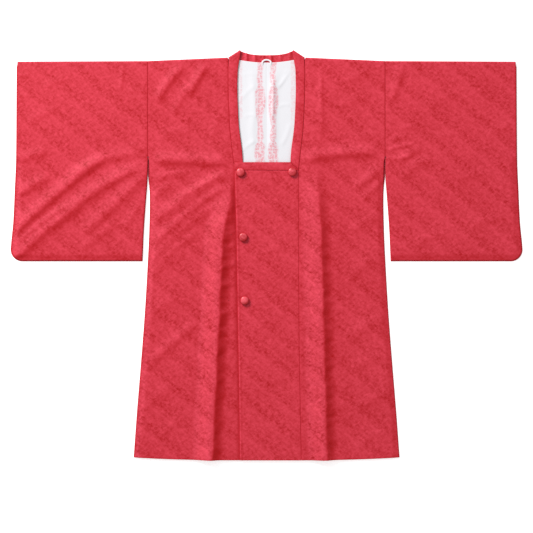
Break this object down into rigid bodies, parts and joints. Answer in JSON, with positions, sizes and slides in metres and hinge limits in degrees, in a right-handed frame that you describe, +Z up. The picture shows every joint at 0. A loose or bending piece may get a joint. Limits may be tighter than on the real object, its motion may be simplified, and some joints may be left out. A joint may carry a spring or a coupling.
{
  "type": "michiyuki coat",
  "caption": "Kimono overcoat with a square neck, wide sleeves and a buttoned overlapping front, laid flat on its back.",
  "frame": {"origin": "on the surface that the coat lies on, under the middle of its box", "axes": "+X to the right as seen from above, which is the wearer's left; +Y from the hem to the neck; +Z up, out of the front"},
  "size_m": [1.2818, 1.0256, 0.0198],
  "materials": {
    "silk": "crimson figured silk crepe, soft sheen",
    "lining": "white plain silk with pale red printed columns",
    "loop": "white woven tape",
    "buttons": "covered with the coat's silk"
  },
  "bodies": {
    "root": {"body_right": "silk", "body_left": "silk", "sleeve_right": "silk", "sleeve_left": "silk", "front_panel_left": "silk", "front_panel_right": "silk", "neckband": "silk", "neckband_front": "silk", "lining_right": "lining", "lining_left": "lining", "hanging_loop": "loop", "button_top_right": "buttons", "button_top_left": "buttons", "button_middle": "buttons", "button_lower": "buttons"}
  },
  "joints": []
}
